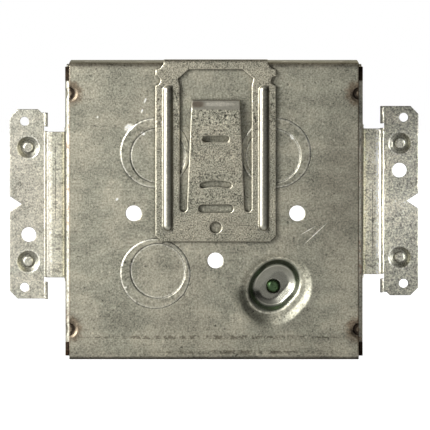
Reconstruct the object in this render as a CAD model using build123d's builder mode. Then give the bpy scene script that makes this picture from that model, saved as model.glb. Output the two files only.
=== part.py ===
import os
from math import atan2, copysign, degrees, hypot

from build123d import *

os.makedirs("parts", exist_ok=True)

# Millimetres. X runs to the right as the box is seen from behind, Y from the back plate
# to the open front, Z up. The origin is the centre of the back plate's outer face.

# Box: 4-11/16 inch square, welded from sheet steel
box_width = 119.06
box_height = 118.8
box_depth = 54.0
sheet = 1.6
top_bend = 2.0
bottom_bend = 4.0
side_bend = 2.0

# Side walls: flanges that lie inside the folded body, and the cover tab
back_flange_setback = 6.9
back_flange_reach = 13.0
end_flange_reach = 5.2
end_flange_start = 7.0
end_flange_stop = 40.0
tab_reach = 15.0
tab_bottom_drop = 15.3
tab_top_drop = 2.0
tab_corner = 4.0

# Weld stakes pressed into the back plate's side edges
stake_setback = 12.2
stake_dish_radius = 3.4
stake_dish_depth = 0.5
stake_dish_taper = 60
stake_radius = 2.6
stake_depth = 1.3
stake_taper = 12
scallop_radius = 4.2
scallop_bite = 1.0

# Pattern on the back plate: its centre sits a little off the plate's centre
pattern_x = 0.56
pattern_z = -0.72
knockout_offset = 24.15
outer_knockout_radius = 14.1
inner_knockout_radius = 11.1
knockout_shift = 1.1
knockout_slit = 0.18
tie_width = 3.0
tie_length = 1.2
tie_inset = 0.1
tie_thickness = 1.0
ring_lift = 0.4
mount_hole_radius = 3.15
mount_hole_spread = 32.7
lower_hole_drop = 18.9

# Knockouts in the other walls: plain discs
wall_knockout_pitch = 79.4
side_knockout_pitch = 52.0
wall_knockout_depth = 25.0

# Raised ground: a stepped dimple pressed into the box, seen as a hollow from behind
ground_x = 23.5
ground_z = -28.9
ground_angle = 46
dimple_depths = (0.0, 1.0, 1.3, 3.6, 4.6)
dimple_radii = (13.2, 10.9, 9.2, 7.0, 3.9)
dimple_reaches = (1.9, 1.9, 1.9, 1.9, 2.8)
dimple_shifts = ((0.7, -1.5), (0.4, -0.9), (0, 0), (0, 0), (0, 0))
bump_growths = (0.5, 0.5, 0.6, 0.8, 1.2)

# Ground screw, number 10-32, with a hex washer head
ground_screw_offset = (-0.3, -0.4)
ground_shank_radius = 2.36
ground_screw_length = 9.5
ground_tip_depth = 2.2
hex_across_flats = 7.94
hex_height = 3.0
washer_radius = 4.8
washer_thickness = 0.9

# Cover screws, number 8-32, with a pan head, left part driven
cover_screw_offset = 7.1
cover_shank_radius = 2.02
cover_screw_length = 9.5
cover_head_radius = 3.9
cover_head_height = 2.4
cover_head_crown = 0.9
cover_head_gap = 2.0

# What both kinds of screw share
thread_clearance = 0.05
tip_chamfer = 0.5
slot_width = 1.2
slot_depth = 1.4

# Rear support plate with its bending tongue: drops are measured down from the box's top
support_sheet = 1.2
support_x = 0.7
support_half_width = 24.1
support_drop = 71.3
support_chamfer = 2.4
hook_half_width = 20.8
hook_reach = 12.0
hook_bend = 1.8
hook_corner_radius = 3.2
hook_corner_rise = 0.6
notch_drop = 7.0
notch_radius = 2.0
bead_offset = 19.2
bead_width = 4.0
bead_length = 58.3
bead_drop = 8.9
bead_height = 1.4
window_drop = 2.4
window_top_half = 10.8
window_shoulder_drop = 6.2
window_shoulder_half = 15.1
window_waist_drop = 9.2
window_half = 14.4
tongue_root_drop = 58.15
tongue_root_half = 11.5
tongue_length = 43.55
tongue_tip_half = 9.6
tongue_rise = 2.5
lip_length = 3.8
lip_drop = 2.0
tongue_bend = 3.0
support_hole_drop = 65.7
support_hole_radius = 2.4
upper_slot_drop = 30.3
upper_slot_length = 10.9
upper_slot_width = 2.7
arched_slot_drop = 48.2
arched_slot_half = 5.1
arched_slot_sag = 0.6
arched_slot_width = 2.6
root_slot_drop = 58.2
root_slot_length = 14.0
root_slot_width = 3.4

# Mounting ears: one stamping, used on the left and turned half round on the right
ear_sheet = 1.0
ear_length = 76.8
ear_strip_width = 8.77
ear_plate_width = 14.5
ear_setback = 1.2
ear_step = 8.0
ear_bend = 2.1
ear_inner_bend = 0.6
strip_half_length = 29.5
leg_half_length = 31.0
leg_setback = 0.6
stop_tab_height = 5.5
stop_tab_start = 31.5
ear_chamfer = 3.2
ear_corner_cut = 1.4
end_notch_radius = 1.0
vee_half_height = 3.15
vee_depth = 4.8
small_hole_radius = 1.82
small_hole_inset = 6.0
small_hole_first = 4.9
small_hole_last = 72.2
large_hole_radius = 2.98
large_hole_inset = 7.7
large_hole_along = 50.8
ear_dimple_first = 15.5
ear_dimple_last = 61.7
ear_dimple_inset = 7.5
ear_dimple_radius = 4.5
ear_dimple_depth = 1.0
ear_dimple_taper = 57
nib_radius = 2.1
nib_height = 0.6
nib_crown = 0.35
left_ear_rise = 1.1
right_ear_rise = 2.4

# Derived places
half_width = box_width / 2
half_height = box_height / 2
body_half = half_width - sheet
flange_seat = half_height - sheet
ear_face = box_depth - ear_setback - ear_sheet
strip_face = ear_face - ear_step
ear_flange = half_width + ear_strip_width
ear_outer = ear_flange + ear_plate_width
back_flange_half = half_height - back_flange_setback
stake_rise = half_height - stake_setback
support_bottom = half_height - support_drop
window_top = half_height - window_drop
window_waist = half_height - window_waist_drop
tongue_root = half_height - tongue_root_drop
tongue_tip = tongue_root + tongue_length
bead_top = half_height - bead_drop
bead_bottom = bead_top - bead_length
ground_floor = dimple_depths[-1] + sheet
cover_screw_x = half_width - cover_screw_offset
cover_screw_z = half_height - cover_screw_offset
mount_holes = [
    (pattern_x - mount_hole_spread, pattern_z),
    (pattern_x + mount_hole_spread, pattern_z),
    (pattern_x, pattern_z - lower_hole_drop),
]

# Planes whose normals point out of each wall
back_face = Plane(origin=(0, 0, 0), x_dir=(1, 0, 0), z_dir=(0, -1, 0))
top_face = Plane(origin=(0, 0, half_height), x_dir=(1, 0, 0), z_dir=(0, 0, 1))
bottom_face = Plane(origin=(0, 0, -half_height), x_dir=(1, 0, 0), z_dir=(0, 0, -1))
right_face = Plane(origin=(half_width, 0, 0), x_dir=(0, 1, 0), z_dir=(1, 0, 0))


def bent_section(plane, points, radii, thickness):
    """Section of a bent sheet: one side follows the points, rounded at each bend.

    The other side runs parallel to it, to the left, or to the right for a negative thickness.
    """
    corners = [Vector(*point) for point in points]
    normals = [(b - a).normalized().rotate(Axis.Z, 90) for a, b in zip(corners, corners[1:])]
    parallel = [corners[0] + normals[0] * thickness]
    parallel_radii = []
    for corner, before, after, radius in zip(corners[1:], normals, normals[1:], radii):
        parallel.append(corner + (before + after) * (thickness / (1 + before.dot(after))))
        parallel_radii.append(radius - copysign(thickness, thickness * before.cross(after).Z))
    parallel.append(corners[-1] + normals[-1] * thickness)
    bends = [0, *radii, 0, 0, *reversed(parallel_radii), 0]
    with BuildSketch(plane) as section:
        with BuildLine():
            FilletPolyline(*corners, *reversed(parallel), radius=bends, close=True)
        make_face()
    return section.sketch


def ties(plane, discs, outward):
    """Short bridges of metal, one on the outward side of each disc, that hold a knockout in place."""
    reach = hypot(*outward)
    with BuildSketch(plane.offset(-tie_inset)) as bridges:
        for (u, v), radius in discs:
            with Locations((u + radius * outward[0] / reach, v + radius * outward[1] / reach)):
                Rectangle(tie_length, tie_width, rotation=degrees(atan2(outward[1], outward[0])))
    extrude(bridges.sketch, amount=-tie_thickness)


def punched_disc(plane, centre, radius):
    """A disc sheared free all round and left level in its hole."""
    for reach, mode in ((radius, Mode.SUBTRACT), (radius - knockout_slit, Mode.ADD)):
        with BuildSketch(plane) as disc:
            with Locations(centre):
                Circle(reach)
        extrude(disc.sketch, amount=-sheet, mode=mode)


def double_knockout(plane, centre, outward):
    """Eccentric double knockout: a ring lifted off the sheet round a level disc."""
    inner_centre = tuple(c - knockout_shift * o for c, o in zip(centre, outward))
    with BuildSketch(plane) as hole:
        with Locations(centre):
            Circle(outer_knockout_radius)
    extrude(hole.sketch, amount=-sheet, mode=Mode.SUBTRACT)
    with BuildSketch(plane.offset(ring_lift)) as ring:
        with Locations(centre):
            Circle(outer_knockout_radius - knockout_slit)
    extrude(ring.sketch, amount=-sheet)
    with BuildSketch(plane.offset(ring_lift)) as eye:
        with Locations(inner_centre):
            Circle(inner_knockout_radius)
    extrude(eye.sketch, amount=-sheet - ring_lift, mode=Mode.SUBTRACT)
    with BuildSketch(plane) as disc:
        with Locations(inner_centre):
            Circle(inner_knockout_radius - knockout_slit)
    extrude(disc.sketch, amount=-sheet)
    ties(plane, [(centre, outer_knockout_radius), (inner_centre, inner_knockout_radius)], outward)


def plain_knockout(plane, centre, outward):
    """Single knockout, level with its wall."""
    punched_disc(plane, centre, inner_knockout_radius)
    ties(plane, [(centre, inner_knockout_radius)], outward)


def dimple_section(level, deeper, wider):
    """Outline of the raised ground at one of its levels."""
    shift = dimple_shifts[level]
    with BuildSketch(back_face.offset(-dimple_depths[level] - deeper)) as section:
        with Locations((pattern_x + ground_x + shift[0], pattern_z + ground_z + shift[1])):
            SlotCenterToCenter(
                2 * dimple_reaches[level], 2 * (dimple_radii[level] + wider), rotation=ground_angle
            )
    return section.sketch


def press_stakes():
    """Weld stakes: half-round presses in the back plate's side edges, with a dip in each side."""
    edge_spots = [(side * body_half, rise * stake_rise) for side in (-1, 1) for rise in (-1, 1)]
    for radius, depth, taper in (
        (stake_dish_radius, stake_dish_depth, stake_dish_taper), (stake_radius, stake_depth, stake_taper),
    ):
        with BuildSketch(back_face) as presses:
            with Locations(*edge_spots):
                Circle(radius)
        extrude(presses.sketch, amount=-depth, taper=taper, mode=Mode.SUBTRACT)
    scallop_x = half_width + scallop_radius - scallop_bite
    with Locations(*[(side * scallop_x, sheet, rise * stake_rise) for side in (-1, 1) for rise in (-1, 1)]):
        Sphere(scallop_radius, mode=Mode.SUBTRACT)


# Box body: one sheet folded into top wall, back plate and bottom wall
with BuildPart() as box_body:
    channel_line = [
        (box_depth, half_height), (0, half_height), (0, -half_height), (box_depth, -half_height),
    ]
    channel = bent_section(Plane.YZ, channel_line, (top_bend, bottom_bend), sheet)
    extrude(channel, amount=body_half, both=True)
    for level in range(len(dimple_depths) - 1):
        loft(
            [dimple_section(step, sheet, bump_growths[step]) for step in (level, level + 1)],
            ruled=True,
        )
    for level in range(len(dimple_depths) - 1):
        loft(
            [dimple_section(step, 0, 0) for step in (level, level + 1)],
            ruled=True, mode=Mode.SUBTRACT,
        )
    for outward in ((-1, 1), (1, 1), (-1, -1)):
        spot = (pattern_x + knockout_offset * outward[0], pattern_z + knockout_offset * outward[1])
        double_knockout(back_face, spot, outward)
    for side in (-1, 1):
        plain_knockout(top_face, (side * wall_knockout_pitch / 2, wall_knockout_depth), (side, 0))
        plain_knockout(bottom_face, (side * wall_knockout_pitch / 2, -wall_knockout_depth), (side, 0))
    with BuildSketch(back_face):
        with Locations(*mount_holes):
            Circle(mount_hole_radius)
        with Locations((pattern_x + ground_x + ground_screw_offset[0],
                        pattern_z + ground_z + ground_screw_offset[1])):
            Circle(ground_shank_radius + thread_clearance)
    extrude(amount=-(ground_floor + sheet), mode=Mode.SUBTRACT)
    press_stakes()
box_body.part.label = "box_body"
export_step(box_body.part, "parts/box_body.step")


# Side wall: a tray whose three flanges lie inside the body, with one cover tab
with BuildPart() as right_side_wall:
    edge = flange_seat - side_bend
    with BuildSketch(right_face):
        with Locations(((sheet + box_depth) / 2, 0)):
            Rectangle(box_depth - sheet, 2 * flange_seat)
        with Locations((sheet + side_bend / 2, 0)):
            Rectangle(side_bend, 2 * back_flange_half, mode=Mode.SUBTRACT)
        with Locations(*[((end_flange_start + end_flange_stop) / 2, rise * (edge + side_bend / 2))
                         for rise in (-1, 1)]):
            Rectangle(end_flange_stop - end_flange_start, side_bend, mode=Mode.SUBTRACT)
        with Locations((box_depth - side_bend / 2, half_height - (tab_top_drop + tab_bottom_drop) / 2)):
            Rectangle(side_bend, tab_bottom_drop - tab_top_drop, mode=Mode.SUBTRACT)
    extrude(amount=-sheet)
    back_line = [
        (half_width, box_depth / 2), (half_width, sheet), (half_width - back_flange_reach, sheet),
    ]
    back_flange = bent_section(Plane.XY, back_line, [side_bend], -sheet)
    extrude(back_flange, amount=back_flange_half, both=True)
    for rise in (-1, 1):
        end_line = [
            (half_width, 0), (half_width, rise * flange_seat),
            (half_width - end_flange_reach, rise * flange_seat),
        ]
        end_section = bent_section(
            Plane.XZ.offset(-end_flange_start), end_line, [side_bend], rise * sheet
        )
        extrude(end_section, amount=-(end_flange_stop - end_flange_start))
    tab_line = [
        (half_width, box_depth / 2), (half_width, box_depth), (half_width - tab_reach, box_depth),
    ]
    tab_section = bent_section(
        Plane.XY.offset(half_height - tab_bottom_drop), tab_line, [side_bend], sheet
    )
    extrude(tab_section, amount=tab_bottom_drop - tab_top_drop)
    nose = right_side_wall.edges().filter_by(Axis.Y).filter_by_position(
        Axis.X, half_width - tab_reach - 0.1, half_width - tab_reach + 0.1
    )
    fillet(nose, tab_corner)
    with BuildSketch(Plane.XZ.offset(-box_depth)):
        with Locations((cover_screw_x, cover_screw_z)):
            Circle(cover_shank_radius + thread_clearance)
    extrude(amount=2 * sheet, both=True, mode=Mode.SUBTRACT)
    for rise in (-1, 1):
        plain_knockout(right_face, (wall_knockout_depth, rise * side_knockout_pitch / 2), (0, rise))
    press_stakes()
right_side_wall.part.label = "right_side_wall"
export_step(right_side_wall.part, "parts/right_side_wall.step")


# The left wall is the same stamping turned half round
with BuildPart() as left_side_wall:
    add(right_side_wall.part, rotation=(0, 180, 0))
left_side_wall.part.label = "left_side_wall"
export_step(left_side_wall.part, "parts/left_side_wall.step")


# Mounting ear, as it sits on the left, centred on its own length
def ear_along(distance):
    """Height of a place measured down from the ear's upper end."""
    return ear_length / 2 - distance


with BuildPart() as ear:
    half_length = ear_length / 2
    ear_plane = Plane(origin=(0, ear_face, 0), x_dir=(1, 0, 0), z_dir=(0, -1, 0))
    inboard = -(ear_flange + ear_inner_bend)
    with BuildSketch(ear_plane):
        with BuildLine():
            Polyline(
                (-ear_outer + ear_chamfer, half_length),
                (inboard - end_notch_radius - ear_corner_cut, half_length),
                (inboard - end_notch_radius, half_length - ear_corner_cut),
                (inboard, half_length - ear_corner_cut),
                (inboard, -half_length),
                (-ear_outer + ear_chamfer, -half_length),
                (-ear_outer, -half_length + ear_chamfer),
                (-ear_outer, -vee_half_height),
                (-ear_outer + vee_depth, 0),
                (-ear_outer, vee_half_height),
                (-ear_outer, half_length - ear_chamfer),
                close=True,
            )
        make_face()
        with Locations((inboard - end_notch_radius, -half_length)):
            Circle(end_notch_radius, mode=Mode.SUBTRACT)
    extrude(amount=-ear_sheet)
    bridge_line = [
        (-ear_outer + ear_dimple_inset, ear_face), (-ear_flange, ear_face), (-ear_flange, strip_face),
        (-half_width, strip_face), (-half_width, box_depth - leg_setback),
    ]
    bridge_radii = (ear_inner_bend, ear_bend, ear_bend)
    bridge = bent_section(Plane.XY, bridge_line, bridge_radii, ear_sheet)
    extrude(bridge, amount=strip_half_length, both=True)
    with BuildSketch(Plane.YZ.offset(-half_width)):
        leg_start = strip_face + ear_bend
        leg_stop = box_depth - leg_setback
        with Locations(((leg_start + leg_stop) / 2, 0)):
            Rectangle(leg_stop - leg_start, 2 * leg_half_length)
    extrude(amount=-ear_sheet)
    for start, stop in ((stop_tab_start, half_length - ear_corner_cut), (-half_length, -stop_tab_start)):
        stop_line = [
            (-ear_outer + ear_dimple_inset, ear_face), (-ear_flange, ear_face),
            (-ear_flange, ear_face - stop_tab_height),
        ]
        stop_tab = bent_section(Plane.XY.offset(start), stop_line, [ear_inner_bend], ear_sheet)
        extrude(stop_tab, amount=stop - start)
    dimple_spots = [
        (-ear_outer + ear_dimple_inset, ear_along(along)) for along in (ear_dimple_first, ear_dimple_last)
    ]
    with BuildSketch(ear_plane.offset(-ear_sheet)):
        with Locations(*dimple_spots):
            Circle(ear_dimple_radius + ear_sheet / 2)
    extrude(amount=-ear_dimple_depth, taper=ear_dimple_taper)
    with BuildSketch(ear_plane):
        with Locations(*dimple_spots):
            Circle(ear_dimple_radius)
    extrude(amount=-ear_dimple_depth, taper=ear_dimple_taper, mode=Mode.SUBTRACT)
    with BuildSketch(ear_plane.offset(-ear_dimple_depth)):
        with Locations(*dimple_spots):
            Circle(nib_radius)
    extrude(amount=nib_height)
    nib_rims = ear.edges().filter_by(GeomType.CIRCLE).filter_by_position(
        Axis.Y, ear_face + ear_dimple_depth - nib_height, ear_face + ear_dimple_depth - nib_height
    )
    chamfer(nib_rims, nib_crown)
    with BuildSketch(ear_plane):
        with Locations(*[(-ear_outer + small_hole_inset, ear_along(along))
                         for along in (small_hole_first, small_hole_last)]):
            Circle(small_hole_radius)
        with Locations((-ear_outer + large_hole_inset, ear_along(large_hole_along))):
            Circle(large_hole_radius)
    extrude(amount=-ear_sheet, mode=Mode.SUBTRACT)

with BuildPart() as left_mounting_ear:
    with Locations((0, 0, left_ear_rise)):
        add(ear.part)
left_mounting_ear.part.label = "left_mounting_ear"
export_step(left_mounting_ear.part, "parts/left_mounting_ear.step")

with BuildPart() as right_mounting_ear:
    with Locations((0, 0, right_ear_rise)):
        add(ear.part, rotation=(0, 180, 0))
right_mounting_ear.part.label = "right_mounting_ear"
export_step(right_mounting_ear.part, "parts/right_mounting_ear.step")


def round_section(plane, width, height):
    """Section of a bead: an arc over its chord."""
    with BuildSketch(plane) as section:
        with BuildLine():
            ThreePointArc((-width / 2, 0), (0, -height), (width / 2, 0))
            Line((width / 2, 0), (-width / 2, 0))
        make_face()
    return section


def press_bead(offset, width, level, mode):
    """Stiffening bead of round section with round ends, standing proud of a level of the plate."""
    low, high = bead_bottom + width / 2, bead_top - width / 2
    for end in (low, high):
        middle = (support_x + offset, level - ring_lift, end)
        plane = Plane(origin=middle, x_dir=(1, 0, 0), z_dir=(0, 0, 1))
        if end == low:
            extrude(round_section(plane, width, bead_height).sketch, amount=high - low, mode=mode)
        with round_section(plane, width, bead_height) as half:
            split(bisect_by=Plane.YZ)
        revolve(half.sketch, axis=Axis(middle, (0, 1, 0)), mode=mode)


# Rear support: a plate hooked over the top wall and seated on the lifted knockout rings, with a
# tongue that bends out to the far wall board
with BuildPart() as rear_support:
    support_plane = Plane(origin=(support_x, -ring_lift, 0), x_dir=(1, 0, 0), z_dir=(0, -1, 0))
    support_side = Plane(origin=(support_x, -ring_lift, 0), x_dir=(0, 1, 0), z_dir=(1, 0, 0))
    plate_top = half_height + support_sheet - hook_bend
    slot_radius = (window_half - tongue_root_half) / 2
    window_shoulder = half_height - window_shoulder_drop
    with BuildSketch(support_plane):
        with Locations((0, (plate_top + support_bottom) / 2)):
            Rectangle(2 * support_half_width, plate_top - support_bottom)
        with Locations(*[(side * support_half_width, half_height + hook_corner_rise) for side in (-1, 1)]):
            Circle(hook_corner_radius, mode=Mode.SUBTRACT)
        with Locations(*[(side * support_half_width, half_height - notch_drop) for side in (-1, 1)]):
            Circle(notch_radius, mode=Mode.SUBTRACT)
        with BuildLine():
            Polyline(
                (-window_top_half, window_top), (window_top_half, window_top),
                (window_shoulder_half, window_shoulder), (window_half, window_waist),
                (window_half, tongue_root), (-window_half, tongue_root),
                (-window_half, window_waist), (-window_shoulder_half, window_shoulder),
                close=True,
            )
        make_face(mode=Mode.SUBTRACT)
        with Locations(*[(side * (window_half - slot_radius), tongue_root) for side in (-1, 1)]):
            Circle(slot_radius, mode=Mode.SUBTRACT)
    extrude(amount=support_sheet)
    corners = rear_support.edges().filter_by(Axis.Y).group_by(Axis.Z)[0]
    chamfer(corners, support_chamfer)
    hook_line = [
        (-support_sheet, window_top), (-support_sheet, half_height + support_sheet),
        (hook_reach, half_height + support_sheet),
    ]
    hook = bent_section(support_side, hook_line, [hook_bend], -support_sheet)
    extrude(hook, amount=hook_half_width, both=True)
    for side in (-1, 1):
        press_bead(side * bead_offset, bead_width, -support_sheet, Mode.ADD)
        press_bead(side * bead_offset, bead_width - support_sheet, 0, Mode.SUBTRACT)

with BuildPart() as tongue:
    tongue_line = [
        (-support_sheet, support_bottom + support_chamfer), (-support_sheet, tongue_root),
        (-support_sheet - tongue_rise, tongue_tip - lip_length),
        (-support_sheet - tongue_rise + lip_drop, tongue_tip),
    ]
    strip = bent_section(support_side, tongue_line, [tongue_bend] * 2, -support_sheet)
    extrude(strip, amount=tongue_root_half, both=True)
    with BuildSketch(support_plane):
        with BuildLine():
            Polyline(
                (-tongue_root_half, support_bottom), (tongue_root_half, support_bottom),
                (tongue_root_half, tongue_root), (tongue_tip_half, tongue_tip),
                (tongue_tip_half, window_top), (-tongue_tip_half, window_top),
                (-tongue_tip_half, tongue_tip), (-tongue_root_half, tongue_root),
                close=True,
            )
        make_face()
    extrude(amount=2 * tongue_rise + 2 * support_sheet, both=True, mode=Mode.INTERSECT)

with rear_support:
    add(tongue.part)
    with BuildSketch(support_plane):
        with Locations((0, half_height - upper_slot_drop)):
            SlotOverall(upper_slot_length, upper_slot_width)
        with BuildLine(mode=Mode.PRIVATE) as arch:
            crown = half_height - arched_slot_drop
            ThreePointArc(
                (-arched_slot_half, crown - arched_slot_sag), (0, crown),
                (arched_slot_half, crown - arched_slot_sag),
            )
        SlotArc(arch.edge(), arched_slot_width)
        with Locations((0, half_height - root_slot_drop)):
            SlotOverall(root_slot_length, root_slot_width)
        with Locations((0, half_height - support_hole_drop)):
            Circle(support_hole_radius)
    extrude(amount=2 * tongue_rise + 2 * support_sheet, mode=Mode.SUBTRACT)
rear_support.part.label = "rear_support"
export_step(rear_support.part, "parts/rear_support.step")


# Ground screw: its tip shows in the hollow behind, its head stands inside for the wire
with BuildPart() as ground_screw:
    screw_x = pattern_x + ground_x + ground_screw_offset[0]
    screw_z = pattern_z + ground_z + ground_screw_offset[1]
    ground_tip = Plane(origin=(screw_x, ground_tip_depth, screw_z), x_dir=(1, 0, 0), z_dir=(0, 1, 0))
    with BuildSketch(ground_tip):
        Circle(ground_shank_radius)
    extrude(amount=ground_screw_length)
    chamfer(ground_screw.edges().group_by(Axis.Y)[0], tip_chamfer)
    with BuildSketch(ground_tip.offset(ground_screw_length)):
        Circle(washer_radius)
    extrude(amount=washer_thickness)
    with BuildSketch(ground_tip.offset(ground_screw_length + washer_thickness)):
        RegularPolygon(hex_across_flats / 2, 6, major_radius=False)
    extrude(amount=hex_height)
    chamfer(ground_screw.edges().group_by(Axis.Y)[-1], tip_chamfer)
    with BuildSketch(ground_tip.offset(ground_screw_length + washer_thickness + hex_height)):
        Rectangle(2 * washer_radius, slot_width)
    extrude(amount=-slot_depth, mode=Mode.SUBTRACT)
ground_screw.part.label = "ground_screw"
export_step(ground_screw.part, "parts/ground_screw.step")


def cover_screw(x, z):
    """Pan-head cover screw in its tapped tab, driven part way so a cover slips under the head."""
    tip = box_depth + cover_head_gap - cover_screw_length
    axis = Plane(origin=(x, tip, z), x_dir=(1, 0, 0), z_dir=(0, 1, 0))
    with BuildPart() as screw:
        with BuildSketch(axis):
            Circle(cover_shank_radius)
        extrude(amount=cover_screw_length)
        chamfer(screw.edges().group_by(Axis.Y)[0], tip_chamfer)
        with BuildSketch(axis.offset(cover_screw_length)):
            Circle(cover_head_radius)
        extrude(amount=cover_head_height)
        chamfer(screw.edges().group_by(Axis.Y)[-1], cover_head_crown)
        with BuildSketch(axis.offset(cover_screw_length + cover_head_height)):
            Rectangle(2 * cover_head_radius, slot_width)
            Rectangle(slot_width, cover_head_radius)
        extrude(amount=-slot_depth, mode=Mode.SUBTRACT)
    return screw.part


upper_cover_screw = cover_screw(cover_screw_x, cover_screw_z)
upper_cover_screw.label = "upper_cover_screw"
export_step(upper_cover_screw, "parts/upper_cover_screw.step")

lower_cover_screw = cover_screw(-cover_screw_x, -cover_screw_z)
lower_cover_screw.label = "lower_cover_screw"
export_step(lower_cover_screw, "parts/lower_cover_screw.step")
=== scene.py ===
from math import cos, hypot, pi, radians, sin

import bmesh
import bpy
from mathutils import Matrix, Vector


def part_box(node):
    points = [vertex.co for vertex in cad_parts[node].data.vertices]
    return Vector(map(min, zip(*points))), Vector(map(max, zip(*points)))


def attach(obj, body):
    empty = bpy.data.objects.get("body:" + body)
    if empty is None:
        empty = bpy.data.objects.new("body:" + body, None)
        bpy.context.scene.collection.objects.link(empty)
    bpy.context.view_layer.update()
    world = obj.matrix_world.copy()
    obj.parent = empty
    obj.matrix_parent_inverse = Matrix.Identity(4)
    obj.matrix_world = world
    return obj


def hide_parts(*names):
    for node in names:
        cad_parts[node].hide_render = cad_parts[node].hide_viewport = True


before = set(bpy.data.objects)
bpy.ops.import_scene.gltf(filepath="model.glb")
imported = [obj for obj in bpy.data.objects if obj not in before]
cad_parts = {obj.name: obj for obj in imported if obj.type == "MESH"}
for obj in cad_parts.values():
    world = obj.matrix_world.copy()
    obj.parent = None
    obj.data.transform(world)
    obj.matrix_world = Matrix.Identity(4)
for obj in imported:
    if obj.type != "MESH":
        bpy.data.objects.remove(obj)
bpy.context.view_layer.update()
scene = bpy.context.scene

# Camera: a long lens, four metres behind the box and a little above its middle, so the back plate
# is seen square on and the top wall only as a thin strip. It is aimed where the photo's middle
# falls on the back plate, and one pixel is 0.4 mm there.
image_size = 430
pixel = 0.0004
camera_distance = 4.0
camera_elevation = radians(2.2)
aim = Vector((0.0004, 0.0, -0.0014))
camera_back = Vector((0, -cos(camera_elevation), sin(camera_elevation)))
camera_data = bpy.data.cameras.new("camera")
camera_data.lens = camera_data.sensor_width * camera_distance / (image_size * pixel)
camera_data.clip_end = 20
camera = bpy.data.objects.new("camera", camera_data)
camera.location = aim + camera_back * camera_distance
camera.rotation_mode = "QUATERNION"
camera.rotation_quaternion = (-camera_back).to_track_quat("-Z", "Y")
scene.collection.objects.link(camera)
scene.camera = camera
scene.view_settings.view_transform = "Standard"


# Light: two soft lamps on the left, a pinhead of one for the right ear and one in front of the open
# side, in a pale room that is brighter on the left, above and in front. The camera sees the room
# as plain white, and so does what mirrors the backdrop low behind the box.
def wire(tree, kind, settings=(), **inputs):
    """Adds a shader node. Each input is a plain value or another node's output."""
    node = tree.nodes.new("ShaderNode" + kind)
    for name, value in dict(settings).items():
        setattr(node, name, value)
    for name, value in inputs.items():
        socket = node.inputs[name.replace("_", " ")]
        if isinstance(value, bpy.types.NodeSocket):
            tree.links.new(value, socket)
        else:
            socket.default_value = value
    return node


def calc(tree, operation, *values):
    """One step of arithmetic on plain values and node outputs."""
    node = tree.nodes.new("ShaderNodeMath")
    node.operation = operation
    for socket, value in zip(node.inputs, values):
        if isinstance(value, bpy.types.NodeSocket):
            tree.links.new(value, socket)
        else:
            socket.default_value = value
    return node.outputs[0]


def lamp(name, place, size, watts, target=(0, 0, 0), spread=180):
    """A square soft lamp that faces the target."""
    data = bpy.data.lights.new(name, "AREA")
    data.size = size
    data.spread = radians(spread)
    data.energy = watts
    light = bpy.data.objects.new(name, data)
    light.location = place
    light.rotation_mode = "QUATERNION"
    light.rotation_quaternion = (Vector(target) - Vector(place)).to_track_quat("-Z", "Y")
    scene.collection.objects.link(light)


lamp("key_lamp", (-0.40, -0.38, 0.20), size=0.25, watts=4.35)
lamp("side_lamp", (-0.48, -0.16, 0.12), size=0.34, watts=1.5)
lamp("right_ear_lamp", (0.46, -0.30, 0.03), size=0.05, watts=0.016, target=(0.082, 0.045, 0),
     spread=9)
lamp("front_lamp", (0.50, 1.20, 0.90), size=0.60, watts=8.0)

# Levels of the room's sides, and the directions between which each one sets in.
window_level, far_wall_level, front_level, ceiling_level = 0.8, 0.02, 0.5, 0.35
window_start, window_end = -0.80, -0.10
front_start, front_end = -0.1, 0.4
ceiling_start, ceiling_end = 0.30, 0.80
backdrop_edge = 0.95
world = bpy.data.worlds.new("room")
world.use_nodes = True
scene.world = world
room = world.node_tree
room.nodes.clear()
room_side = wire(room, "SeparateXYZ", Vector=wire(room, "TexCoord").outputs["Generated"]).outputs
window_side = wire(room, "MapRange", Value=room_side["X"], From_Min=window_start,
                   From_Max=window_end, To_Min=window_level,
                   To_Max=far_wall_level).outputs["Result"]
room_front = wire(room, "MapRange", Value=room_side["Y"], From_Min=front_start,
                  From_Max=front_end, To_Min=window_side, To_Max=front_level).outputs["Result"]
room_top = wire(room, "MapRange", Value=room_side["Z"], From_Min=ceiling_start,
                From_Max=ceiling_end, To_Max=ceiling_level).outputs["Result"]
room_level = calc(room, "ADD", room_front, room_top)
room_rays = wire(room, "LightPath").outputs
room_mirrored = calc(room, "MAXIMUM", room_rays["Is Glossy Ray"], room_rays["Is Transmission Ray"])
behind_box = calc(room, "MULTIPLY", calc(room, "GREATER_THAN", room_side["Y"], backdrop_edge),
                  calc(room, "LESS_THAN", room_side["Z"], 0.0))
seen_white = calc(room, "MAXIMUM", room_rays["Is Camera Ray"],
                  calc(room, "MULTIPLY", room_mirrored, behind_box))
room_strength = wire(room, "MapRange", Value=seen_white, To_Min=room_level, To_Max=1.0)
room_light = wire(room, "Background", Color=(1, 1, 1, 1), Strength=room_strength.outputs["Result"])
room.links.new(room_light.outputs[0], wire(room, "OutputWorld").inputs["Surface"])


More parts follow.
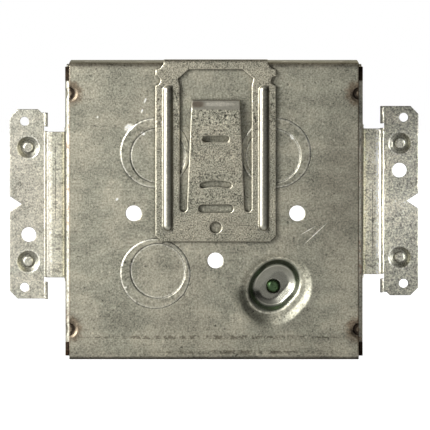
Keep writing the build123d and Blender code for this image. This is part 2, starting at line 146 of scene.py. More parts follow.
# Floor: a plain white table that the box stands on. It glows a little where it is seen, so it
# reads as white up to the thin shadow under the box.
floor_half = 3.0
floor_glow_level = 0.90
floor_mirror_share = 0.1
floor_grey = 0.42
bpy.ops.mesh.primitive_plane_add(size=2 * floor_half, location=(0, 0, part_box("box_body")[0].z))
floor = bpy.context.object
floor.name = "floor"
floor_paint = bpy.data.materials.new("floor_paint")
floor_paint.use_nodes = True
paint = floor_paint.node_tree
paint.nodes.clear()
floor_rays = wire(paint, "LightPath").outputs
floor_mirrored = calc(paint, "MAXIMUM", floor_rays["Is Glossy Ray"],
                      floor_rays["Is Transmission Ray"])
floor_seen = calc(paint, "MAXIMUM", floor_rays["Is Camera Ray"],
                  calc(paint, "MULTIPLY", floor_mirrored, floor_mirror_share))
floor_glow = wire(paint, "Emission", Strength=calc(paint, "MULTIPLY", floor_seen, floor_glow_level))
floor_matt = wire(paint, "BsdfDiffuse", Color=(floor_grey, floor_grey, floor_grey, 1))
floor_sum = wire(paint, "AddShader")
paint.links.new(floor_glow.outputs[0], floor_sum.inputs[0])
paint.links.new(floor_matt.outputs[0], floor_sum.inputs[1])
paint.links.new(floor_sum.outputs[0], wire(paint, "OutputMaterial").inputs["Surface"])
floor.data.materials.append(floor_paint)


# Box body: one sheet of galvanised steel, folded into top wall, back plate and bottom wall. The
# zinc is mottled in small grains under cloudy patches. The press leaves it brown at the weld
# stakes and burnished along the sheared knockouts and in the raised ground. Painted highlights and
# painted shade lie over these marks, on the bends and on the top wall.
def steps(tree, value, low, high, start=0.0, stop=1.0):
    """Smooth step from start to stop as the value goes from low to high."""
    return wire(tree, "MapRange", {"interpolation_type": "SMOOTHSTEP"}, Value=value, From_Min=low,
                From_Max=high, To_Min=start, To_Max=stop).outputs["Result"]


def between(tree, amount, start, stop):
    """A value in a straight line from start to stop as the amount goes from 0 to 1."""
    return wire(tree, "MapRange", Value=amount, To_Min=start, To_Max=stop).outputs["Result"]


def product(tree, first, *others):
    """All the values multiplied."""
    for value in others:
        first = calc(tree, "MULTIPLY", first, value)
    return first


def off(tree, value, middle):
    """How far the value is from the middle, to either side."""
    return calc(tree, "ABSOLUTE", calc(tree, "SUBTRACT", value, middle))


def centred(tree, value, gain):
    """Noise round 0.5 turned to a swing round 0, times the gain."""
    return calc(tree, "MULTIPLY", calc(tree, "SUBTRACT", value, 0.5), gain)


def band(tree, value, rise, fall, amount=1.0):
    """The amount between two soft edges, each given as where it starts and ends, and 0 outside."""
    return product(tree, steps(tree, value, *rise), steps(tree, value, *fall, amount, 0.0))


def tinted(tree, amount, colour, tint):
    """The colour, turned to the tint by an amount from 0 to 1."""
    mix = tree.nodes.new("ShaderNodeMix")
    mix.data_type = "RGBA"
    for socket, value in ((mix.inputs[0], amount), (mix.inputs[6], colour), (mix.inputs[7], tint)):
        if isinstance(value, bpy.types.NodeSocket):
            tree.links.new(value, socket)
        else:
            socket.default_value = value if not isinstance(value, tuple) else (*value, 1)
    return mix.outputs[2]


def times(tone, share):
    """A colour made lighter or darker by a share."""
    return tuple(share * channel for channel in tone)


def scaled(tree, colour, level):
    """A colour made lighter or darker by a node's level."""
    return wire(tree, "VectorMath", {"operation": "SCALE"}, Vector=colour, Scale=level).outputs[0]


def sides(tree, place):
    """The place's X, Y and Z."""
    return wire(tree, "SeparateXYZ", Vector=place).outputs


def oval(tree, place, centre, reach, turn=0.0):
    """Distance from an upright oval spot, seen along Y: 1 at its edge. Lengths are millimetres."""
    moved = wire(tree, "Mapping", {"vector_type": "TEXTURE"}, Vector=place,
                 Location=(centre[0] / 1000, 0, centre[1] / 1000), Rotation=(0, radians(-turn), 0),
                 Scale=(reach[0] / 1000, 10, reach[1] / 1000)).outputs[0]
    return wire(tree, "VectorMath", {"operation": "LENGTH"}, Vector=moved).outputs["Value"]


def spot(tree, place, centre, reach, turn=0.0, fade=(0.5, 1.0), amount=1.0):
    """The amount inside an oval spot, falling to 0 over the fade. Lengths are millimetres."""
    return steps(tree, oval(tree, place, centre, reach, turn), *fade, amount, 0.0)


def noise(tree, place, scale, detail=0.0, roughness=0.5, stretch=(1, 1, 1)):
    """Noise from 0 to 1 round 0.5. The stretch lengthens its spots along an axis."""
    if stretch != (1, 1, 1):
        place = wire(tree, "Mapping", {"vector_type": "TEXTURE"}, Vector=place,
                     Scale=stretch).outputs[0]
    return wire(tree, "TexNoise", Vector=place, Scale=scale, Detail=detail,
                Roughness=roughness).outputs["Fac"]


def new_material(name):
    """An empty material, its node tree and the place on the object."""
    material = bpy.data.materials.new(name)
    material.use_nodes = True
    tree = material.node_tree
    tree.nodes.clear()
    return material, tree, wire(tree, "TexCoord").outputs["Object"]


cloud_scale, drift_scale, patch_scale = 330, 105, 34
pit_scale, speck_scale, streak_scale = 800, 610, 700
streak_gain = 0.12
cool_share = (0.955, 0.98, 0.985)
darkest_level = 0.15
crevice_reach = 0.0016
crevice_shade = 0.55
mirror_tint = (0.25, 0.235, 0.20, 1)
bump_height = 0.00008


def galvanised(name, tone, sparkle=0.25, clouds=0.12, roughness=0.46, edge=0.0007,
               grain_scale=1300, pits=0.35, patches=0.2, specks=0.0, edge_light_and_shade=None, details=None):
    """Mottled zinc on steel sheet, with painted shade in its crevices. Its details change the skin
    by place. Its rounded edges can be painted lighter, as painted highlight, or darker, as painted
    shade: the pair gives how strongly, and to what share of the tone."""
    material, tree, place = new_material(name)
    grain = noise(tree, place, grain_scale, 1.0, 0.7)
    cloud = noise(tree, place, cloud_scale, 3, 0.7)
    patch = noise(tree, place, patch_scale, 3)
    streak = noise(tree, place, streak_scale, 1, 0.5, (14, 1, 1))
    pit = steps(tree, noise(tree, place, pit_scale), 0.22, 0.30, pits, 0.0)
    speck = steps(tree, noise(tree, place, speck_scale), 0.70, 0.78, 0.0, specks)
    drift = noise(tree, place, drift_scale, 3, 0.6, (1.6, 1, 1))
    mottle = centred(tree, grain, 6 * sparkle)
    shade = calc(tree, "ADD", centred(tree, cloud, 5 * clouds), speck)
    shade = calc(tree, "ADD", shade, centred(tree, drift, 5 * patches))
    rolled = centred(tree, streak, streak_gain)
    cool = tuple(channel * share for channel, share in zip(tone, cool_share))
    warmth = steps(tree, calc(tree, "ADD", patch, drift), 0.90, 1.10)
    skin = {
        "colour": tinted(tree, warmth, cool, tone),
        "level": calc(tree, "ADD", calc(tree, "ADD", mottle, shade),
                      calc(tree, "SUBTRACT", rolled, pit)),
        "rough": calc(tree, "ADD", calc(tree, "MULTIPLY", cloud, 0.10), roughness - 0.05),
        "relief": grain,
        "edge": edge,
    }
    if details:
        details(tree, place, skin)
    level = calc(tree, "MAXIMUM", calc(tree, "ADD", skin["level"], 1.0), darkest_level)
    # Painted shade: the colour is darkened where ambient occlusion finds crevices and corners.
    open_air = wire(tree, "AmbientOcclusion", {"samples": 8}, Distance=crevice_reach).outputs["AO"]
    level = product(tree, level, steps(tree, open_air, 0.45, 0.95, 1.0 - crevice_shade, 1.0))
    colour = scaled(tree, skin["colour"], level)
    rounded = wire(tree, "Bevel", {"samples": 8}, Radius=skin["edge"])
    # Rounded edges painted to a share of the tone: lighter is painted highlight, darker is painted
    # shade.
    if edge_light_and_shade:
        strength, share = edge_light_and_shade
        facing = wire(tree, "VectorMath", {"operation": "DOT_PRODUCT"})
        tree.links.new(rounded.outputs[0], facing.inputs[0])
        tree.links.new(wire(tree, "NewGeometry").outputs["True Normal"], facing.inputs[1])
        painted_edge = steps(tree, facing.outputs["Value"], 0.86, 0.99, strength, 0.0)
        colour = tinted(tree, painted_edge, colour, times(tone, share))
    bump = wire(tree, "Bump", Strength=0.6, Distance=bump_height, Height=skin["relief"],
                Normal=rounded.outputs[0])
    surface = wire(tree, "BsdfPrincipled", Base_Color=colour, Metallic=1.0,
                   Roughness=skin["rough"], Specular_Tint=mirror_tint, Normal=bump.outputs[0])
    tree.links.new(surface.outputs[0], wire(tree, "OutputMaterial").inputs["Surface"])
    return material


def recoloured(tree, skin, amount, colour):
    """Where the amount is 1, the skin has this colour under its mottle. It serves for real marks
    and for painted light and shade.
    """
    skin["colour"] = tinted(tree, amount, skin["colour"], colour)


def dulled(tree, skin, amount, colour):
    """Where the amount is 1, the skin has this colour and is rough. It serves for rough cut edges
    and for painted shade.
    """
    recoloured(tree, skin, amount, colour)
    skin["rough"] = calc(tree, "MAXIMUM", skin["rough"], amount)


def smoothed(tree, skin, amount, colour, rough, edge, grain=0.0):
    """Where the amount is 1, the skin is smooth metal of its own colour, with wider round edges.
    The grain is the share of the mottle that it keeps."""
    kept = calc(tree, "SUBTRACT", 1.0, calc(tree, "MULTIPLY", amount, 1.0 - grain))
    recoloured(tree, skin, amount, colour)
    skin["level"] = calc(tree, "MULTIPLY", skin["level"], kept)
    skin["relief"] = calc(tree, "MULTIPLY", skin["relief"], kept)
    skin["rough"] = between(tree, amount, skin["rough"], rough)
    skin["edge"] = between(tree, amount, skin["edge"], edge)


def dress(node, material):
    """Gives a CAD node its finish."""
    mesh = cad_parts[node].data
    mesh.materials.clear()
    mesh.materials.append(material)


# Places and reaches on the sheet, seen along Y. Those in millimetres are for oval and spot.
body_tone = (0.408, 0.386, 0.302)
weld_spot = (57.93, 47.2)
stain_reach, press_reach = (6.5, 6.5), (2.5, 2.7)
scuff_rows = ((0.0, -50.4, 58.0), (8.0, -56.4, 34.0))
scuff_half_height = 0.9
shaded_spot, shaded_reach = (54, 8), (17, 36)
# The fifth to the eighth are painted glints on the knockouts' ties. The others are bare flecks, and
# the last two are scratches.
bare_flecks_and_tie_glints = (
    (-27.5, 44.4, 0.5, 1.5, -20), (-28.8, 40.2, 0.4, 1.2, -20), (-38.8, 4.9, 0.6, 0.9, -30),
    (-46.6, 37.8, 0.5, 0.5, 0), (-34.1, 33.6, 2.4, 1.9, 30), (31.1, 29.9, 1.5, 0.8, -55),
    (-28.4, 31.2, 1.2, 0.8, -30), (-35.4, -30.4, 0.8, 0.5, 20), (40.5, -9.0, 0.25, 7.5, -47),
    (37.6, -7.6, 0.2, 4.0, -60))
pattern_centre = (0.00056, -0.00072)
knockout_reach = 0.02415
eye_shift = 0.0011
outer_radius, inner_radius = 0.0141, 0.0111
burnish_and_highlight_inset = 0.35
ground_spot, ground_reach, ground_turn = (24.06, -29.62), (12.1, 10.0), 46
ground_crease_highlights = ((1.0, 0.032, 0.48), (0.70, 0.030, 0.6))
lid_knockout = (0.0397, 0.025)
lid_ring_reach = 11.6

# Colours of the marks on the sheet, and of its painted highlights and painted shade.
stain_brown = (0.20, 0.14, 0.09)
stake_pit_shade = (0.04, 0.03, 0.022)
stake_shoulder = (0.14, 0.115, 0.085)
scuff_brown = (0.10, 0.085, 0.06)
sheared_burnish_and_highlight = (0.66, 0.64, 0.54)
bare_and_glint_bright = (0.95, 0.92, 0.82)
bowl_metal = (0.345, 0.34, 0.285)
bowl_wall_green_shade = (0.075, 0.10, 0.065)
crease_highlight = (0.74, 0.72, 0.60)
lower_left_shade_black = (0.12, 0.12, 0.09)
lit_rim_shade = (0.20, 0.20, 0.18)
seam_brown = (0.13, 0.10, 0.07)
upper_bend_shade = (0.11, 0.095, 0.07)
lower_bend_light = (0.60, 0.56, 0.46)
lid_shade = (0.07, 0.058, 0.04)
highlight_cream = (0.80, 0.76, 0.64)


def stake_stains(tree, place, skin):
    """Each weld stake: a brown stain with a ragged edge, a dark pit of painted shade over the burnt
    press, and a darkened shoulder.
    """
    side = sides(tree, place)
    quarter = wire(tree, "CombineXYZ", X=calc(tree, "ABSOLUTE", side["X"]), Y=side["Y"],
                   Z=calc(tree, "ABSOLUTE", side["Z"])).outputs[0]
    ragged = centred(tree, noise(tree, place, 500, 3, 0.7), 0.9)
    stain = calc(tree, "ADD", oval(tree, quarter, weld_spot, stain_reach), ragged)
    recoloured(tree, skin, steps(tree, stain, 0.55, 1.0, 0.75, 0.0), stain_brown)
    press = oval(tree, quarter, weld_spot, press_reach)
    # The dark pit is painted shade over the burnt press.
    recoloured(tree, skin, band(tree, press, (0.2, 0.5), (0.85, 1.0), 0.95), stake_pit_shade)
    recoloured(tree, skin, band(tree, press, (0.98, 1.08), (1.30, 1.45), 0.45), stake_shoulder)


def plate_wear_and_shade(tree, place, skin):
    """Two worn rows of scuffs low on the back plate, and painted shade in a patch on its right."""
    scuff = steps(tree, noise(tree, place, 420, 2, 0.8, (1.4, 1, 1)), 0.44, 0.56, 0.0, 0.65)
    for middle, height, half in scuff_rows:
        row = spot(tree, place, (middle, height), (half, scuff_half_height), fade=(0.75, 1.0))
        recoloured(tree, skin, product(tree, row, scuff), scuff_brown)
    # Painted shade: the right of the back plate is darkened, where less light falls.
    shade_patch = spot(tree, place, shaded_spot, shaded_reach, fade=(0.2, 1.2), amount=0.7)
    recoloured(tree, skin, shade_patch, times(body_tone, 0.62))


def knockout_rings(tree, place, skin):
    """A bright rounded band along each sheared ring, on three quarters of the back plate: burnished
    metal with a painted highlight.
    """
    side = sides(tree, place)
    folded = wire(tree, "CombineXYZ", X=off(tree, side["X"], pattern_centre[0]),
                  Z=off(tree, side["Z"], pattern_centre[1])).outputs[0]
    plain_quarter = calc(tree, "MULTIPLY", calc(tree, "GREATER_THAN", side["X"], pattern_centre[0]),
                         calc(tree, "LESS_THAN", side["Z"], pattern_centre[1]))
    cut_quarters = calc(tree, "SUBTRACT", 1.0, plain_quarter)
    for reach, radius in ((knockout_reach, outer_radius),
                          (knockout_reach - eye_shift, inner_radius)):
        from_centre = oval(tree, folded, (1000 * reach, 1000 * reach), (1, 1))
        from_cut = off(tree, from_centre, 1000 * radius - burnish_and_highlight_inset)
        # Burnished metal, brightened further as a painted highlight.
        burnish_and_highlight = product(tree, steps(tree, from_cut, 0.3, 0.6, 0.7, 0.0), cut_quarters)
        recoloured(tree, skin, burnish_and_highlight, sheared_burnish_and_highlight)
        skin["edge"] = calc(tree, "MAXIMUM", skin["edge"], product(tree, burnish_and_highlight, 0.0016))


def bare_metal_and_glints(tree, place, skin):
    """Bright flecks and two scratches where the zinc is rubbed off, and painted glints on the
    knockouts' ties.
    """
    for across, up, wide, high, turn in bare_flecks_and_tie_glints:
        fleck_and_glint = spot(tree, place, (across, up), (wide, high), turn, amount=0.85)
        recoloured(tree, skin, fleck_and_glint, bare_and_glint_bright)
        skin["level"] = calc(tree, "ADD", skin["level"], product(tree, fleck_and_glint, 0.25))


def ground_bowl(tree, place, skin):
    """The raised ground: a smooth bowl, with painted shade in dark green on its walls, painted
    highlights along its creases, and painted shade beside it to the lower left and over its lit
    rim.
    """
    from_spot = oval(tree, place, ground_spot, ground_reach, ground_turn)
    inside = steps(tree, from_spot, 0.89, 0.99, 1.0, 0.0)
    smoothed(tree, skin, inside, bowl_metal, 0.24, 0.0014, 0.15)
    # Painted shade on the bowl's steep wall, in a dark green.
    recoloured(tree, skin, band(tree, from_spot, (0.70, 0.76), (0.92, 0.97), 0.45), bowl_wall_green_shade)
    # Painted highlights along the bowl's creases, mostly on its right side.
    lit = product(tree, steps(tree, sides(tree, place)["X"], 0.025, 0.033, 1.0, 0.15),
                  steps(tree, oval(tree, place, (13.5, -30.0), (5.0, 6.5)), 0.5, 1.0, 0.2, 1.0))
    for radius, half, amount in ground_crease_highlights:
        crease = steps(tree, off(tree, from_spot, radius), 0.3 * half, half, amount, 0.0)
        recoloured(tree, skin, product(tree, crease, lit), crease_highlight)
    outside = steps(tree, from_spot, 1.0, 1.06)
    # Painted shade on the sheet beside the bowl's lower left.
    lower_left_shade = spot(tree, place, (15.0, -38.6), (12.0, 5.0), -50, (0.5, 1.15), 0.7)
    recoloured(tree, skin, product(tree, outside, lower_left_shade), lower_left_shade_black)
    # Painted shade dims the lit rim beside the bowl's lower right.
    lit_rim = spot(tree, place, (34.5, -37.0), (14.0, 5.5), 56, (0.6, 1.1), 0.15)
    recoloured(tree, skin, product(tree, outside, lit_rim), lit_rim_shade)
    soft = spot(tree, place, (24.6, -30.6), (17.0, 15.0), ground_turn, (0.95, 1.05), 0.0014)
    skin["edge"] = calc(tree, "MAXIMUM", skin["edge"], soft)


def folds(tree, side, skin):
    """Brown seams beside the side walls, painted shade on the upper bend and painted light on the
    lower bend.
    """
    near_back = steps(tree, side["Y"], 0.0025, 0.0050, 1.0, 0.0)
    # The upper bend is darkened as painted shade, the lower bend lightened as painted light.
    for measure, start, stop, amount, colour in (
            (calc(tree, "ABSOLUTE", side["X"]), 0.0573, 0.0577, 0.75, seam_brown),
            (side["Z"], 0.0566, 0.0588, 0.75, upper_bend_shade),
            (side["Z"], -0.0560, -0.0580, 0.5, lower_bend_light)):
        fold = steps(tree, measure, start, stop, 0.0, amount)
        recoloured(tree, skin, product(tree, near_back, fold), colour)


def top_wall(tree, place, side, skin):
    """Painted shade on the top wall, darkest beside its bend, where it is also rough, and a painted
    highlight ring round each of its knockouts.
    """
    on_top = steps(tree, side["Z"], 0.05925, 0.05935)
    # Painted shade on the top wall, fading towards the front.
    wave = steps(tree, noise(tree, place, 90, 1, 0.5, (3, 1, 1)), 0.52, 0.64, 1.0, 0.3)
    shade_patch = product(tree, wave, steps(tree, side["Y"], 0.002, 0.016, 0.95, 0.30))
    dulled(tree, skin, product(tree, on_top, shade_patch), lid_shade)
    # A painted highlight ring round each knockout of the top wall.
    above = wire(tree, "CombineXYZ", X=calc(tree, "ABSOLUTE", side["X"]), Z=side["Y"]).outputs[0]
    from_centre = oval(tree, above, times(lid_knockout, 1000), (lid_ring_reach, lid_ring_reach))
    ring_highlight = product(tree, steps(tree, off(tree, from_centre, 1.0), 0.04, 0.10, 0.5, 0.0), on_top)
    recoloured(tree, skin, ring_highlight, highlight_cream)
    skin["rough"] = between(tree, ring_highlight, skin["rough"], 0.4)


def body_details(tree, place, skin):
    """Everything that the press, the welds and wear leave on the sheet, with the painted highlights
    and painted shade laid over it. The marks of the back plate show on its outer face only."""
    side = sides(tree, place)
    clean = skin["colour"]
    facing = wire(tree, "VectorTransform",
                  {"vector_type": "NORMAL", "convert_from": "WORLD", "convert_to": "OBJECT"},
                  Vector=wire(tree, "NewGeometry").outputs["True Normal"]).outputs[0]
    outer = steps(tree, sides(tree, facing)["Y"], -0.02, 0.02, 1.0, 0.0)
    for mark in (stake_stains, plate_wear_and_shade, knockout_rings, bare_metal_and_glints, ground_bowl):
        mark(tree, place, skin)
    skin["colour"] = tinted(tree, outer, clean, skin["colour"])
    folds(tree, side, skin)
    top_wall(tree, place, side, skin)


dress("box_body", galvanised("body_zinc", body_tone, sparkle=0.28, specks=0.3, patches=0.26,
                             details=body_details))


# Shear lines: the hair-thin gaps round the knockouts, closed as punching leaves them. Each is a
# thin dark ring set halfway into the sheet, as painted shade in the gap.
def plain_finish(name, colour, roughness, mottle=0.3, scale=900):
    """A dull finish whose colour is mottled a little."""
    material, tree, place = new_material(name)
    level = steps(tree, noise(tree, place, scale, 2), 0.3, 0.7, 1.0 - mottle, 1.0 + mottle)
    surface = wire(tree, "BsdfPrincipled", Base_Color=scaled(tree, colour, level), Metallic=0.0,
                   Roughness=roughness)
    tree.links.new(surface.outputs[0], wire(tree, "OutputMaterial").inputs["Surface"])
    return material


def spun(bm, profile, steps_round=96):
    """A closed ring: the profile's corners (radius, height) swept once round Z."""
    corners = [bm.verts.new((radius, 0, height)) for radius, height in profile]
    edges = [bm.edges.new(pair) for pair in zip(corners, corners[1:] + corners[:1])]
    bmesh.ops.spin(bm, geom=corners + edges, cent=(0, 0, 0), axis=(0, 0, 1), angle=2 * pi,
                   steps=steps_round, use_merge=True)


def finished(bm, name, body, material):
    """Turns a bmesh into a piece that rides on a body."""
    bmesh.ops.recalc_face_normals(bm, faces=bm.faces)
    mesh = bpy.data.meshes.new(name)
    bm.to_mesh(mesh)
    bm.free()
    mesh.materials.append(material)
    piece = bpy.data.objects.new(name, mesh)
    scene.collection.objects.link(piece)
    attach(piece, body)
    return piece


half_wide, half_high = 0.05953, 0.0594
slit = 0.00018
slit_play = 0.00001
shade_depths = (0.0004, 0.0012)
cheek_knockout = (0.025, 0.026)
shear_shade = plain_finish("shear_shade", (0.09, 0.08, 0.065), 0.75)
into_back = Matrix(((1, 0, 0), (0, 0, 1), (0, -1, 0))).to_4x4()
shear_rings = []
for across, up in ((-1, 1), (1, 1), (-1, -1)):
    spot_x = pattern_centre[0] + knockout_reach * across
    spot_z = pattern_centre[1] + knockout_reach * up
    shear_rings.append((outer_radius, Matrix.Translation((spot_x, 0, spot_z)) @ into_back))
    eye = (spot_x - eye_shift * across, 0, spot_z - eye_shift * up)
    shear_rings.append((inner_radius, Matrix.Translation(eye) @ into_back))
for hand in (-1, 1):
    for up in (-1, 1):
        lid = Matrix.Translation((hand * lid_knockout[0], lid_knockout[1], up * half_high))
        shear_rings.append((inner_radius, lid @ Matrix.Diagonal((1, 1, -up, 1))))
        cheek = Matrix.Translation((hand * half_wide, cheek_knockout[0], up * cheek_knockout[1]))
        turn = Matrix.Rotation(radians(-90 * hand), 4, "Y")
        shear_rings.append((inner_radius, cheek @ turn))
bm = bmesh.new()
for radius, place in shear_rings:
    start = len(bm.verts)
    low, high = radius - slit + slit_play, radius - slit_play
    spun(bm, [(low, shade_depths[0]), (high, shade_depths[0]), (high, shade_depths[1]),
              (low, shade_depths[1])])
    bm.verts.ensure_lookup_table()
    bmesh.ops.transform(bm, matrix=place, verts=bm.verts[start:])
finished(bm, "shear_lines", "box", shear_shade)


# Side walls: two equal trays of the same sheet, folded and welded inside the body. Their cut ends
# show brown at the back corners, darkened by painted shade.
corner_brown_shade = (0.12, 0.09, 0.065)
cut_brown_shade = (0.07, 0.05, 0.035)
rust_brown = (0.22, 0.12, 0.07)


def wall_details(tree, place, skin):
    """Brown cut edges at the ends, darkened by painted shade and strongest at the back, and rust
    along the bend.
    """
    side = sides(tree, place)
    height = calc(tree, "ABSOLUTE", side["Z"])
    back = steps(tree, side["Y"], 0.0020, 0.0036, 1.0, 0.0)
    # The back corners and cut ends are darkened brown, partly cut edge and partly painted shade.
    dulled(tree, skin, product(tree, back, steps(tree, height, 0.0518, 0.0526)), corner_brown_shade)
    cut_end = product(tree, steps(tree, height, 0.0556, 0.0562),
                      steps(tree, side["Y"], 0.003, 0.010, 1.0, 0.3))
    dulled(tree, skin, cut_end, cut_brown_shade)
    rust = steps(tree, noise(tree, place, 260, 3, 0.7), 0.54, 0.66, 0.0, 0.6)
    recoloured(tree, skin, product(tree, back, rust), rust_brown)


wall_zinc = galvanised("wall_zinc", (0.40, 0.38, 0.31), details=wall_details)
dress("left_side_wall", wall_zinc)
dress("right_side_wall", wall_zinc)


# Mounting ears: thinner sheet with a smoother, paler zinc, each stamped in one piece and spot
# welded. The press leaves a line and ticks on the strip between ear and wall, and dark creases on
# the face. Painted highlights and painted shade lie along the bends and round each dimple.
ear_tone = (0.545, 0.52, 0.44)
ear_dimples = ((-75.3, 22.9), (-75.3, -23.3))
strip_edge = (-0.0672, -0.0668)
press_line = (-64.1, 8.0)
press_line_reach = (0.22, 18.0)
ear_bend_light_and_shade = ((-0.06745, 0.0006, 0.5), (-0.0668, 0.0003, 0.2), (-0.0659, 0.0006, 1.6),
             (-0.0606, 0.0005, 1.4))
dimple_highlight_rings = ((1.75, 0.6), (4.65, 0.5))
dimple_shade_dark = (0.10, 0.10, 0.075)
dimple_highlight = (0.92, 0.90, 0.80)


def ear_finish(name, tone, sparkle, hand, rise):
    """The ears' pale zinc. Its marks are given for the left ear, with hand 1. For the right ear,
    with hand -1, they turn half round. The rise is the height of that turn, in millimetres."""
    def ear_details(tree, place, skin):
        local = wire(tree, "VectorMath", {"operation": "MULTIPLY_ADD"}, Vector=place)
        local.inputs[1].default_value = (hand, 1, hand)
        local.inputs[2].default_value = (0, 0, -hand * rise / 1000)
        local = local.outputs[0]
        across = sides(tree, local)["X"]
        strip = steps(tree, across, *strip_edge)
        ragged = centred(tree, noise(tree, place, 900, 1), 1.6)
        line = calc(tree, "ADD", oval(tree, local, press_line, press_line_reach), ragged)
        recoloured(tree, skin, steps(tree, line, 0.6, 1.1, 0.75, 0.0), times(tone, 0.25))
        skin["level"] = calc(tree, "ADD", skin["level"], product(tree, strip, 0.12))
        tick = steps(tree, noise(tree, place, 420, 1, 0.5, (1.6, 1, 0.7)), 0.60, 0.68, 0.0, 0.6)
        recoloured(tree, skin, product(tree, strip, tick), times(tone, 0.3))
        # Painted light and shade along the bends: shares under 1 are painted shade, over 1 painted
        # highlight.
        for middle, half, share in ear_bend_light_and_shade:
            bend_light_and_shade = steps(tree, off(tree, across, middle), 0.6 * half, half, 0.8, 0.0)
            recoloured(tree, skin, bend_light_and_shade, times(tone, share))
        for centre in ear_dimples:
            reach = oval(tree, local, centre, (1, 1))
            # Painted shade on each dimple's wall.
            dimple_shade = product(tree, band(tree, reach, (1.9, 2.3), (4.15, 4.45)),
                           steps(tree, reach, 3.0, 3.4, 0.75, 0.62))
            recoloured(tree, skin, dimple_shade, dimple_shade_dark)
            # Painted highlight rings round the nib and the rim.
            for radius, amount in dimple_highlight_rings:
                ring_highlight = steps(tree, off(tree, reach, radius), 0.1, 0.4, amount, 0.0)
                recoloured(tree, skin, ring_highlight, dimple_highlight)
        crease = steps(tree, off(tree, noise(tree, place, 420, 3, 0.7), 0.5), 0.0, 0.03, 1.0, 0.0)
        spread = steps(tree, noise(tree, place, 150, 1), 0.45, 0.60, 0.1, 0.7)
        recoloured(tree, skin, product(tree, crease, spread), times(tone, 0.45))
    # Painted shade: the ears' rounded edges are darkened.
    return galvanised(name, tone, sparkle=sparkle, clouds=0.16, roughness=0.40, edge=0.0006,
                      grain_scale=1500, pits=0.15, edge_light_and_shade=(0.8, 0.2), details=ear_details)


dress("left_mounting_ear", ear_finish("left_ear_zinc", times(ear_tone, 1.03), 0.32, 1, 1.1))
# Painted light: the right ear's zinc is made paler than the left's, for the light that the box
# keeps from it.
dress("right_mounting_ear", ear_finish("right_ear_zinc_painted_light", times(ear_tone, 1.3), 0.42, -1, 2.4))


# Rear support: one plate with a coarser zinc, hooked over the top wall, with a tongue cut from its
# middle. The press draws its two beads and the tongue's lip smooth and bright. Painted shade lies
# on the beads' flanks and feet, the lip's top and the top bend, and a painted highlight on the lip.
support_middle = 0.0007
bead_offset = 0.0192
bead_span = ((-0.0088, -0.0072), (0.0500, 0.0508))
lip_foot, lip_end = (0.0405, 0.0411), (0.0460, 0.0462)
bead_metal = (0.46, 0.445, 0.37)
bead_flank_shade = (0.06, 0.055, 0.04)
bead_foot_shade = (0.20, 0.19, 0.15)
lip_metal = (0.50, 0.475, 0.39)
smear_brown = (0.16, 0.11, 0.075)
edge_shade_brown = (0.07, 0.06, 0.045)


def support_details(tree, place, skin):
    """Coarser grain high on the plate, smooth beads with painted shade on their flanks and feet, a
    smooth stained lip with a painted highlight and painted shade at its top, and painted shade on
    the top bend.
    """
    side = sides(tree, place)
    from_middle = off(tree, side["X"], support_middle)
    along = band(tree, side["Z"], *bead_span)
    bead = steps(tree, off(tree, from_middle, bead_offset), 0.0018, 0.0023, 1.0, 0.0)
    zone = product(tree, steps(tree, side["Z"], 0.026, 0.037, 0.12, 0.9),
                   steps(tree, side["Z"], 0.046, 0.050, 1.0, 0.3))
    coarse = centred(tree, noise(tree, place, 1000, 1), 3.0)
    skin["level"] = calc(tree, "ADD", skin["level"], product(tree, zone, coarse))
    smoothed(tree, skin, product(tree, bead, along), bead_metal, 0.30, 0.0005, 0.3)
    # Painted shade on each bead's right flank and on its left foot.
    for middle in (support_middle - bead_offset, support_middle + bead_offset):
        flank_shade = band(tree, side["X"], (middle + 0.0001, middle + 0.0019),
                     (middle + 0.0021, middle + 0.0023), 0.9)
        recoloured(tree, skin, product(tree, flank_shade, along), bead_flank_shade)
        foot_shade = band(tree, side["X"], (middle - 0.0022, middle - 0.0020),
                    (middle - 0.0018, middle - 0.0009), 0.6)
        recoloured(tree, skin, product(tree, foot_shade, along), bead_foot_shade)
    on_tongue = steps(tree, from_middle, 0.0104, 0.0106, 1.0, 0.0)
    lip = product(tree, on_tongue, band(tree, side["Z"], lip_foot, lip_end))
    smoothed(tree, skin, lip, lip_metal, 0.36, 0.0007, 0.15)
    # A painted highlight across the lip.
    glint = spot(tree, place, (1.6, 43.0), (8.0, 1.0), fade=(0.5, 1.1), amount=0.8)
    recoloured(tree, skin, product(tree, glint, lip), highlight_cream)
    smear = spot(tree, place, (-6.6, 43.0), (3.6, 1.7), fade=(0.4, 1.1), amount=0.7)
    recoloured(tree, skin, product(tree, smear, lip), smear_brown)
    # Painted shade along the top of the lip.
    tip = band(tree, side["Z"], (0.0442, 0.0446), lip_end, 0.8)
    recoloured(tree, skin, product(tree, on_tongue, tip), edge_shade_brown)
    # Painted shade on the top bend, darkest near the back, where it is also rough.
    top_bend = product(tree, steps(tree, side["Z"], 0.0598, 0.0604),
                       steps(tree, side["Y"], 0.001, 0.012, 0.8, 0.25))
    dulled(tree, skin, top_bend, edge_shade_brown)


# Painted highlight: the support's rounded edges are lightened.
dress("rear_support", galvanised("support_zinc", (0.40, 0.375, 0.292), sparkle=0.60, edge=0.0008,
                                 edge_light_and_shade=(0.7, 1.7), grain_scale=1900, pits=0.3,
                                 details=support_details))


# Ground screw: green zinc, number 10-32, with a slotted hex head and washer for the ground wire.
# Its thread is rolled, 32 turns to the inch, with a chamfer at the tip.
thread_pitch = 0.0254 / 32
thread_depth = 0.0004
thread_steps = 40
shank_look = 0.004
head_share = 1.2
cad_merge_gap, thread_merge_gap = 1e-7, 1e-6
cut_gap = 1e-8
head_play = 1e-5
thread_overlap = 2e-4


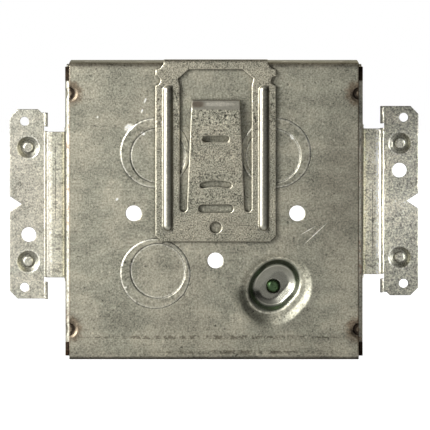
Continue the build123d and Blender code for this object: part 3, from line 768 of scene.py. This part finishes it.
def threaded_screw(name, node, point, material):
    """The CAD screw's own head over a shank with a real thread. The point is the tip's chamfer, in
    metres."""
    low, high = (Vector(corner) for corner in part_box(node))
    middle = (low + high) / 2
    bm = bmesh.new()
    bm.from_mesh(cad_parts[node].data)
    bmesh.ops.remove_doubles(bm, verts=bm.verts, dist=cad_merge_gap)

    def reach(vert):
        """The vertex's distance from the screw's axis."""
        return hypot(vert.co.x - middle.x, vert.co.z - middle.z)

    crest = max(reach(vert) for vert in bm.verts if vert.co.y < low.y + shank_look)
    under_head = min(vert.co.y for vert in bm.verts if reach(vert) > head_share * crest)

    def cut(verts, height, axis, keep_above):
        """Cuts these verts' faces flat at a height and closes the end."""
        picked = set(verts)
        geom = verts + [e for e in bm.edges if e.verts[0] in picked]
        geom += [f for f in bm.faces if f.verts[0] in picked]
        made = bmesh.ops.bisect_plane(bm, geom=geom, dist=cut_gap, plane_co=axis * height,
                                      plane_no=axis, clear_inner=keep_above,
                                      clear_outer=not keep_above)
        painted_edge = [part for part in made["geom_cut"] if isinstance(part, bmesh.types.BMEdge)]
        bmesh.ops.contextual_create(bm, geom=painted_edge)

    cut(bm.verts[:], under_head + head_play, Vector((0, 1, 0)), True)
    head = set(bm.verts)
    turns = int((under_head - low.y) / thread_pitch) + 3
    corners = []
    for half_turn in range(2 * turns + 1):
        radius = crest - thread_depth if half_turn % 2 == 0 else crest
        corners.append(bm.verts.new((radius, 0, (half_turn / 2 - 1.5) * thread_pitch)))
    edges = [bm.edges.new(pair) for pair in zip(corners, corners[1:])]
    bmesh.ops.spin(bm, geom=corners + edges, cent=(0, 0, 0), axis=(0, 0, 1), angle=2 * pi,
                   dvec=(0, 0, thread_pitch / thread_steps), steps=thread_steps, use_merge=False)
    thread = [vert for vert in bm.verts if vert not in head]
    bmesh.ops.remove_doubles(bm, verts=thread, dist=thread_merge_gap)
    for height, keep_above in ((0, True), (under_head - low.y + thread_overlap, False)):
        cut([vert for vert in bm.verts if vert not in head], height, Vector((0, 0, 1)), keep_above)
    thread = [vert for vert in bm.verts if vert not in head]
    for vert in thread:
        out = hypot(vert.co.x, vert.co.y)
        most = crest - point + vert.co.z
        if out > most:
            vert.co.x *= most / out
            vert.co.y *= most / out
    laid = Matrix.Rotation(radians(-90), 4, "X")
    upright = Matrix.Translation((middle.x, low.y, middle.z)) @ laid
    bmesh.ops.transform(bm, matrix=upright, verts=thread)
    piece = finished(bm, name, node, material)
    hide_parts(node)


# Painted highlight: the ground screw's rounded edges are lightened.
green_zinc = galvanised("green_zinc", (0.10, 0.165, 0.08), sparkle=0.05, roughness=0.28,
                        edge=0.0003, edge_light_and_shade=(0.3, 1.5))
threaded_screw("green_ground_screw", "ground_screw", 0.0006, green_zinc)


# Cover screws: bright zinc, number 8-32, with a slotted and crossed pan head. They are left part
# driven, so a cover slips under the heads.
# Painted shade: the cover screws' rounded edges are darkened.
screw_zinc = galvanised("screw_zinc", (0.60, 0.60, 0.58), sparkle=0.03, roughness=0.3, edge=0.0003,
                        edge_light_and_shade=(0.4, 0.5))
for end in ("upper", "lower"):
    threaded_screw(f"{end}_zinc_cover_screw", f"{end}_cover_screw", 0.0005, screw_zinc)
